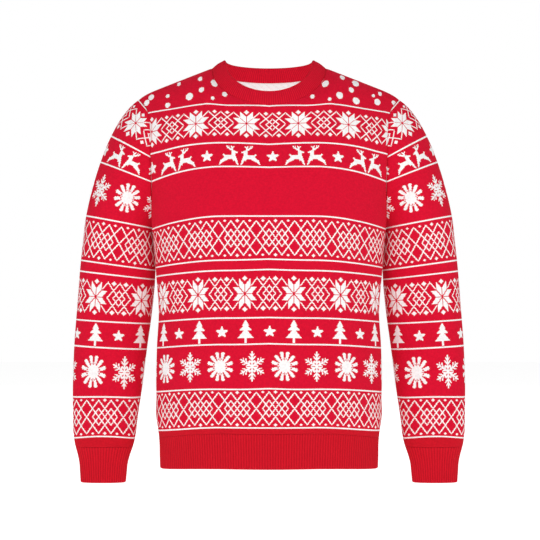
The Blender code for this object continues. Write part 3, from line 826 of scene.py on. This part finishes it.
def five_point(c, r, size):
    """A star with one point up; size is from its middle to a point, in stitches across."""
    x, y = c, r * COURSE / WALE * 1.1
    turn = np.arctan2(x, y)
    part = np.abs((turn + np.pi / 5) % (2 * np.pi / 5) - np.pi / 5)
    inner = 0.46
    reach = inner * np.sin(np.pi / 5) / (
        np.sin(part) * (1 - inner * np.cos(np.pi / 5)) + np.cos(part) * inner * np.sin(np.pi / 5)
    )
    return np.hypot(x, y) <= size * reach


# The strokes of a reindeer, in stitches: across and up to where each starts and to where it ends, and
# half its thickness there and there
DEER = (
    (18.0, -3.6, 7.8, -3.0, 2.8, 2.9),  # body
    (7.8, -1.0, 8.4, 4.2, 2.7, 2.1),  # neck
    (8.0, 4.6, 3.0, 3.2, 2.0, 1.0),  # head
    (9.2, 6.0, 9.6, 9.6, 1.2, 1.0),  # antlers
    (9.6, 9.6, 7.6, 12.2, 0.9, 0.7),
    (9.6, 9.6, 11.0, 12.8, 0.9, 0.6),
    (11.0, 7.6, 15.2, 10.6, 1.2, 1.1),
    (15.2, 10.6, 16.8, 13.0, 1.0, 0.7),
    (14.4, 10.4, 13.8, 13.0, 0.9, 0.6),
    (21.2, 0.2, 19.0, -2.0, 1.0, 1.3),  # tail
    (17.6, -5.8, 23.6, -9.2, 2.7, 2.0),  # hind legs
    (23.6, -9.2, 26.6, -14.4, 2.0, 0.7),
    (6.6, -5.4, 4.4, -9.2, 2.4, 1.6),  # fore legs
    (4.4, -9.2, 2.4, -14.4, 1.6, 0.8),
    (8.6, -6.0, 7.8, -8.4, 1.4, 0.8),
)


def deer_chart():
    """One of two leaping reindeer that face each other, and half of the star between two pairs."""
    c, r = squares(44, 32)
    r = r - 16
    return drawn(c, r, DEER) | five_point(43.5 - c, r + 2, 9.2)


def tree_chart():
    """Half of a fir tree, and half of the star between two trees."""
    c, r = squares(32, 38)
    r = r - 2
    tiers = np.zeros(c.shape, bool)
    for foot, top, wide, narrow in ((7, 18, 10.2, 1.9), (17.5, 26, 8.2, 1.5), (25, 32.5, 4.2, 0.3)):
        part = (r - foot) / (top - foot)
        tiers |= (part >= 0) & (part <= 1) & (c <= wide + (narrow - wide) * part)
    trunk = (c <= 1) & (r >= 0) & (r < 7)
    return tiers | trunk | five_point(31.5 - c, r - 15, 9.3)


def flake_chart():
    """A quarter of a flake with twelve petals, then a quarter of a six-armed crystal."""
    c, r = squares(43, 24)
    petals = np.zeros(c.shape, bool)
    for turn in np.radians([15, 45, 75]):
        x, y = math.sin(turn), math.cos(turn)
        petals |= drawn(c / 17.2, r / 21, [(0.25 * x, 0.25 * y, 0.90 * x, 0.90 * y, 0.075, 0.125)])
    petals |= np.hypot(c / 17.2, r / 21) < 0.40
    petals &= ~((c == 0) & (r > 9)) & ~((r == 0) & (c > 8))
    petals &= np.hypot(c / 17.2 - 0.13, r / 21 - 0.5) >= 0.045
    petals &= np.hypot(c / 17.2 - 0.5, r / 21 - 0.13) >= 0.05
    d = (42.5 - c) / 17.5
    y = r / 20.5
    crystal = np.zeros(c.shape, bool)
    for turn in np.radians([0, 60]):
        out = np.array([math.sin(turn), math.cos(turn)])
        strokes = [(0, 0, out[0], out[1], 0.065, 0.04)]
        for start, long in ((0.22, 0.24), (0.46, 0.30), (0.72, 0.20)):
            for lean in np.radians([-48, 48]):
                tip = out * start + np.array([math.sin(turn + lean), math.cos(turn + lean)]) * long
                strokes.append((*(out * start), *tip, 0.056, 0.042))
        crystal |= drawn(np.abs(d), y, strokes)
    return petals & (c < 21) | crystal & (c >= 21)


# ---------------------------------------------------------------- materials


class Number:
    """A value in a node tree. Sums, products and so on of such values add the nodes that work them out."""

    def __init__(self, tree, socket):
        self.tree, self.socket = tree, socket

    def maths(self, operation, *others):
        """This value taken together with the others by one of the node's operations."""
        node = self.tree.nodes.new("ShaderNodeMath")
        node.operation = operation
        for place, value in enumerate((self, *others)):
            if isinstance(value, Number):
                self.tree.links.new(value.socket, node.inputs[place])
            else:
                node.inputs[place].default_value = value
        return Number(self.tree, node.outputs[0])

    def __add__(self, other):
        return self.maths("ADD", other)

    def __sub__(self, other):
        return self.maths("SUBTRACT", other)

    def __mul__(self, other):
        return self.maths("MULTIPLY", other)

    def __truediv__(self, other):
        return self.maths("DIVIDE", other)

    def near(self, other, reach):
        """1 where the two differ by no more than the reach, and 0 elsewhere."""
        return self.maths("COMPARE", other, reach)


def knit_cells(tree, u, v):
    """The number of the stitch at (u, v) across and up, and the height of its V above the cloth there."""
    across = u / WALE
    aside = (across.maths("FRACT") - 0.5).maths("ABSOLUTE")
    up = v / COURSE + aside * 0.7
    strand = (aside * 4 - 1).maths("ABSOLUTE")
    plump = (up.maths("FRACT") - 0.5).maths("ABSOLUTE")
    height = (strand * -1 + 1).maths("MAXIMUM", 0).maths("SQRT") - plump * 0.5
    return across.maths("FLOOR"), up.maths("FLOOR"), height


def chart_value(tree, chart, column, row):
    """Whether the chart has this stitch in white: a ramp holds each row as numbers whose binary digits
    are its stitches, sixteen to a channel, and the digit for the column is read off."""
    rows, columns = chart.shape
    digits = np.zeros((rows, 48), int)
    digits[:, :columns] = chart
    numbers = (digits.reshape(rows, 3, 16) * 2.0 ** -np.arange(1, 17)).sum(-1)
    node = tree.nodes.new("ShaderNodeValToRGB")
    node.color_ramp.interpolation = "CONSTANT"
    stops = node.color_ramp.elements
    stops.remove(stops[1])
    stops[0].position = 0
    stops[0].color = (*numbers[0], 1)
    for k in range(1, rows):
        if (numbers[k] != numbers[k - 1]).any():
            stops.new(k / rows).color = (*numbers[k], 1)
    tree.links.new(((row + 0.5) / rows).socket, node.inputs[0])
    channel = (column / 16).maths("FLOOR")
    pick = tree.nodes.new("ShaderNodeCombineXYZ")
    for k in range(3):
        tree.links.new(channel.near(k, 0.5).socket, pick.inputs[k])
    dot = tree.nodes.new("ShaderNodeVectorMath")
    dot.operation = "DOT_PRODUCT"
    tree.links.new(node.outputs[0], dot.inputs[0])
    tree.links.new(pick.outputs[0], dot.inputs[1])
    place = column - channel * 16 + 1
    two_to_place = (place * 0 + 2).maths("POWER", place)
    held = Number(tree, dot.outputs["Value"]) + 4e-6  # a hair more, so that rounding takes no digit away
    return (held * two_to_place).maths("FLOOR").maths("FLOORED_MODULO", 2)


# Each band of figures: the stripes that bound it, its repeat in stitches, whether it is the same above
# and below its middle, its chart, and where its first figure stands on each piece, in stitches from the
# middle of the front
BAND_COLUMNS = ("above", "below", "repeat", "mirrored", "chart", "body", "left sleeve", "right sleeve")
BANDS = (
    ("a", "b", 68, True, star_chart(35, 17, 18), 38.5, 30.5, 30.5),
    ("b", "c", 87, False, deer_chart(), -38.5, 15.5, 15.5),
    ("c", "d", 85, True, flake_chart(), None, -6.5, -6.5),
    ("d", "e", 50, True, lattice_chart(), -16.5, -11.5, -7.5),
    ("f", "g", 64, True, star_chart(33, 16, 22), 32.5, 16.5, 16.5),
    ("g", "h", 63, False, tree_chart(), -30.5, 13.5, 13.5),
    ("h", "i", 85, True, flake_chart(), -64.5, -23.5, 14.5),
    ("i", "j", 50, True, lattice_chart(), -16.5, 22.5, 22.5),
)

# Snow on the yoke: across, fabric height, and how far each flake reaches across and up
SNOW = (
    (-0.1551, -0.0140, 0.0034, 0.0074),
    (-0.1165, -0.0145, 0.0038, 0.0066),
    (-0.0918, -0.0190, 0.0058, 0.0110),
    (-0.1135, -0.0427, 0.0045, 0.0055),
    (-0.1345, -0.0531, 0.0064, 0.0074),
    (-0.0940, -0.0597, 0.0032, 0.0039),
    (-0.0738, -0.0473, 0.0042, 0.0068),
    (-0.2116, -0.0379, 0.0070, 0.0078),
    (-0.2224, -0.0490, 0.0070, 0.0070),
    (-0.1755, -0.0431, 0.0035, 0.0043),
    (-0.1747, -0.0630, 0.0049, 0.0052),
    (0.0947, -0.0226, 0.0058, 0.0100),
    (0.0722, -0.0532, 0.0038, 0.0056),
    (0.1014, -0.0630, 0.0031, 0.0036),
    (0.1189, -0.0534, 0.0059, 0.0070),
    (0.1397, -0.0374, 0.0046, 0.0062),
    (0.1250, -0.0050, 0.0042, 0.0090),
    (0.1486, -0.0145, 0.0062, 0.0110),
    (0.1481, -0.0592, 0.0062, 0.0069),
    (0.1818, -0.0410, 0.0033, 0.0040),
    (0.1893, -0.0540, 0.0065, 0.0070),
    (0.1959, -0.0319, 0.0042, 0.0060),
    (0.2300, -0.0473, 0.0062, 0.0058),
)
BACK_SNOW = (
    (-0.060, -0.0560, 0.0052, 0.0058),
    (-0.022, -0.0470, 0.0034, 0.0040),
    (0.012, -0.0590, 0.0056, 0.0062),
    (0.048, -0.0500, 0.0042, 0.0048),
    (-0.040, -0.0330, 0.0040, 0.0048),
    (0.000, -0.0300, 0.0054, 0.0060),
    (0.032, -0.0260, 0.0032, 0.0040),
    (0.068, -0.0330, 0.0048, 0.0056),
    (-0.074, -0.0260, 0.0046, 0.0056),
)

RED = (0.694, 0.006, 0.031)
RIB_RED = (0.590, 0.008, 0.020)
BAND_RED = (0.650, 0.007, 0.026)
WHITE = (0.975, 0.950, 0.945)
FLOATS = (0.985, 0.960, 0.955)


def new_material(name):
    """Matt wool, with the fabric coordinates (u across, v up) and 1 on the inner side of the cloth."""
    material = bpy.data.materials.new(name)
    material.use_nodes = True
    tree = material.node_tree
    shader = tree.nodes["Principled BSDF"]
    shader.inputs["Roughness"].default_value = 0.92
    shader.inputs["Specular IOR Level"].default_value = 0.04
    shader.inputs["Sheen Weight"].default_value = 0.015
    shader.inputs["Sheen Roughness"].default_value = 0.6
    map_node = tree.nodes.new("ShaderNodeUVMap")
    map_node.uv_map = "Fabric"
    split = tree.nodes.new("ShaderNodeSeparateXYZ")
    tree.links.new(map_node.outputs[0], split.inputs[0])
    u, v = Number(tree, split.outputs[0]), Number(tree, split.outputs[1])
    inside = tree.nodes.new("ShaderNodeAttribute")
    inside.attribute_name = "Inside"
    return material, tree, shader, u, v, Number(tree, inside.outputs["Fac"])


def blend(tree, part, first, second):
    """A colour between two, each given as three numbers or as the output of a node."""
    node = tree.nodes.new("ShaderNodeMix")
    node.data_type = "RGBA"
    tree.links.new(part.socket, node.inputs["Factor"])
    for slot, value in ((6, first), (7, second)):
        if isinstance(value, tuple):
            node.inputs[slot].default_value = (*value, 1)
        else:
            tree.links.new(value, node.inputs[slot])
    return node.outputs[2]


def raise_stitches(tree, shader, height, distance):
    """Shades the surface as if it stood out by the height times the distance in metres, at half strength."""
    bump = tree.nodes.new("ShaderNodeBump")
    bump.inputs["Strength"].default_value = 0.5
    bump.inputs["Distance"].default_value = distance
    tree.links.new(height.socket, bump.inputs["Height"])
    tree.links.new(bump.outputs[0], shader.inputs["Normal"])


def mottle(tree, u, v, size, seed):
    """Slow uneven light and dark, from 0 to 1."""
    join = tree.nodes.new("ShaderNodeCombineXYZ")
    tree.links.new(u.socket, join.inputs[0])
    tree.links.new(v.socket, join.inputs[1])
    join.inputs[2].default_value = seed
    noise = tree.nodes.new("ShaderNodeTexNoise")
    noise.inputs["Scale"].default_value = 1 / size
    noise.inputs["Detail"].default_value = 2
    tree.links.new(join.outputs[0], noise.inputs["Vector"])
    return Number(tree, noise.outputs[0])


def figured_knit(name, part, snow=()):
    """Red cloth with white stripes and figures; its wrong side is white floats flecked with red."""
    material, tree, shader, u, v, inside = new_material(name)
    cell_u, cell_v, height = knit_cells(tree, u, v)
    across, up = cell_u + 0.5, cell_v + 0.5
    white = None
    for stripe in STRIPES.values():
        line = up.near(round(stripe / COURSE), 1)
        white = line if white is None else white.maths("MAXIMUM", line)
    for line in BANDS:
        band = dict(zip(BAND_COLUMNS, line))
        if band[part] is None:
            continue
        chart = band["chart"]
        above, below = STRIPES[band["above"]] / COURSE, STRIPES[band["below"]] / COURSE
        column = ((across - band[part]).maths("PINGPONG", band["repeat"] / 2) + 0.501).maths("FLOOR")
        rise = up - (above + below) / 2
        if band["mirrored"]:
            row = (rise.maths("ABSOLUTE") + 0.5).maths("FLOOR")
        else:
            row = (rise + chart.shape[0] / 2).maths("FLOOR")
        here = rise.near(0, (above - below) / 2 - 2)
        white = white.maths("MAXIMUM", chart_value(tree, chart, column, row) * here)
    for x, z, wide, high in snow:
        aside = (across - x / WALE) * (WALE / wide)
        above = (up - z / COURSE) * (COURSE / high)
        white = white.maths("MAXIMUM", (aside * aside + above * above).maths("LESS_THAN", 1))
    plain = up.maths("LESS_THAN", STRIPES["j"] / COURSE)
    outer = blend(tree, white, blend(tree, plain, RED, RIB_RED), WHITE)
    shade = mottle(tree, u, v, 0.003, 2) * 0.36 + 0.82
    tint = tree.nodes.new("ShaderNodeMix")
    tint.data_type = "RGBA"
    tint.blend_type = "MULTIPLY"
    tint.inputs["Factor"].default_value = 1
    tree.links.new(outer, tint.inputs[6])
    grey = tree.nodes.new("ShaderNodeCombineColor")
    for k in range(3):
        tree.links.new(shade.socket, grey.inputs[k])
    tree.links.new(grey.outputs[0], tint.inputs[7])
    speck = (cell_u * 0.7 + cell_v * 0.37).maths("FRACT").maths("LESS_THAN", 0.10)
    floats = blend(tree, speck * 0.20, FLOATS, RED)
    colour = blend(tree, inside.maths("GREATER_THAN", 0.5), tint.outputs[2], floats)
    tree.links.new(colour, shader.inputs["Base Color"])
    raise_stitches(tree, shader, height, 0.0004)
    return material


def rib_knit(name, colour, pitch):
    """Plain ribbed cloth, a little darker in its furrows, one to each pitch, as less light reaches them."""
    material, tree, shader, u, v, _ = new_material(name)
    _, _, height = knit_cells(tree, u, v)
    ridge = (u * (2 * math.pi / pitch)).maths("COSINE") * -0.5 + 0.5
    light = mottle(tree, u, v, 0.003, 5) * 0.4 + ridge * 0.6
    dark, bright = (tuple(c * share for c in colour) for share in (0.74, 1.22))
    tree.links.new(blend(tree, light, dark, bright), shader.inputs["Base Color"])
    raise_stitches(tree, shader, height, 0.0003)
    return material


# ---------------------------------------------------------------- the sweater

body_knit = figured_knit("Body knit", "body", SNOW)
back_knit = figured_knit("Back knit", "body", SNOW + BACK_SNOW)
left_knit = figured_knit("Left sleeve knit", "left sleeve")
right_knit = figured_knit("Right sleeve knit", "right sleeve")
welt_rib = rib_knit("Welt rib", RIB_RED, WELT_PITCH)
cuff_rib = rib_knit("Cuff rib", RIB_RED, CUFF_PITCH)
band_rib = rib_knit("Neckband rib", BAND_RED, BAND_PITCH)

PANELS = ((-1, "front_cloth", "front", body_knit), (1, "back_cloth", "back", back_knit))
for side, name, node, material in PANELS:
    grid, outward, fabric = panel(side)
    piece = add_piece(name, grid, outward, KNIT, fabric, material)
    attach(piece, "root")
    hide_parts(node)

for side, name, node in ((-1, "front_welt_rib", "front_welt"), (1, "back_welt_rib", "back_welt")):
    grid, outward, wall, fabric = welt(side)
    piece = add_piece(name, grid, outward, wall, fabric, welt_rib, hem=0)
    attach(piece, "root")
    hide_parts(node)

grid, outward, wall, fabric = neck_ring()
piece = add_piece("neckband_rib", grid, outward, wall, fabric, band_rib, ring=True, hem=-1)
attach(piece, "root")
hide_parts("neckband")

for sign, hand, material in ((1, "left", left_knit), (-1, "right", right_knit)):
    flip = np.array([sign, 1, 1])
    grid, outward, fabric = sleeve()
    piece = add_piece(f"{hand}_sleeve_cloth", grid * flip, outward * flip, KNIT, fabric, material, ring=True)
    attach(piece, "root")
    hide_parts(f"{hand}_sleeve")
    grid, outward, wall, fabric = cuff()
    grid, outward = grid * flip, outward * flip
    piece = add_piece(f"{hand}_cuff_rib", grid, outward, wall, fabric, cuff_rib, ring=True, hem=-1)
    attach(piece, "root")
    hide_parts(f"{hand}_cuff")

# ---------------------------------------------------------------- stage, light and camera

FLOOR = -0.80  # well under the hem
MIDDLE = (0, 0, -0.35)  # what the lights face

floor_mesh = bpy.data.meshes.new("Floor")
corners = [(-6, -6, FLOOR), (6, -6, FLOOR), (6, 6, FLOOR), (-6, 6, FLOOR)]
floor_mesh.from_pydata(corners, [], [(0, 1, 2, 3)])
floor = bpy.data.objects.new("Floor", floor_mesh)
bpy.context.collection.objects.link(floor)
pale = bpy.data.materials.new("Pale floor")
pale.use_nodes = True
paper = pale.node_tree.nodes["Principled BSDF"].inputs
paper["Base Color"].default_value = (0.97, 0.97, 0.97, 1)
paper["Roughness"].default_value = 1
paper["Emission Color"].default_value = (1, 1, 1, 1)
paper["Emission Strength"].default_value = 0.62
floor_mesh.materials.append(pale)


def add_light(name, place, target, size, power):
    """An oblong light at a place, facing the target; the camera doesn't see it."""
    data = bpy.data.lights.new(name, "AREA")
    data.shape = "RECTANGLE"
    data.size, data.size_y = size
    data.energy = power
    light = bpy.data.objects.new(name, data)
    light.location = place
    light.rotation_euler = (Vector(target) - Vector(place)).to_track_quat("-Z", "Y").to_euler()
    light.visible_camera = False
    bpy.context.collection.objects.link(light)


add_light("Front light", (0.0, -3.5, 1.5), MIDDLE, (3.0, 2.4), 46)
add_light("Left light", (-3.0, -2.0, 0.6), MIDDLE, (1.6, 2.4), 7)
add_light("Right light", (3.0, -2.0, 0.6), MIDDLE, (1.6, 2.4), 7)
add_light("Light inside the neck", (0.0, -0.045, -0.17), (0, 0.06, -0.01), (0.10, 0.06), 0.15)
add_light("Top light", (0.0, -1.2, 2.6), (0, 0, -0.10), (2.4, 1.2), 14)
add_light("Back light", (0.0, 3.2, 1.2), MIDDLE, (3.0, 2.0), 24)

scene = bpy.context.scene
scene.view_settings.view_transform = "Standard"
world = bpy.data.worlds.new("Studio")
scene.world = world
world.use_nodes = True
sky = world.node_tree.nodes["Background"]
sky.inputs["Color"].default_value = (1, 1, 1, 1)
seen = world.node_tree.nodes.new("ShaderNodeLightPath")
strength = Number(world.node_tree, seen.outputs["Is Camera Ray"]) * 0.65 + 0.35
world.node_tree.links.new(strength.socket, sky.inputs["Strength"])

lens = bpy.data.cameras.new("Camera")
lens.sensor_width = 36
lens.lens = 125.5
camera = bpy.data.objects.new("Camera", lens)
camera.location = (0.0017, -3.2, -0.35)
camera.rotation_euler = (math.pi / 2, 0, 0)
bpy.context.collection.objects.link(camera)
scene.camera = camera
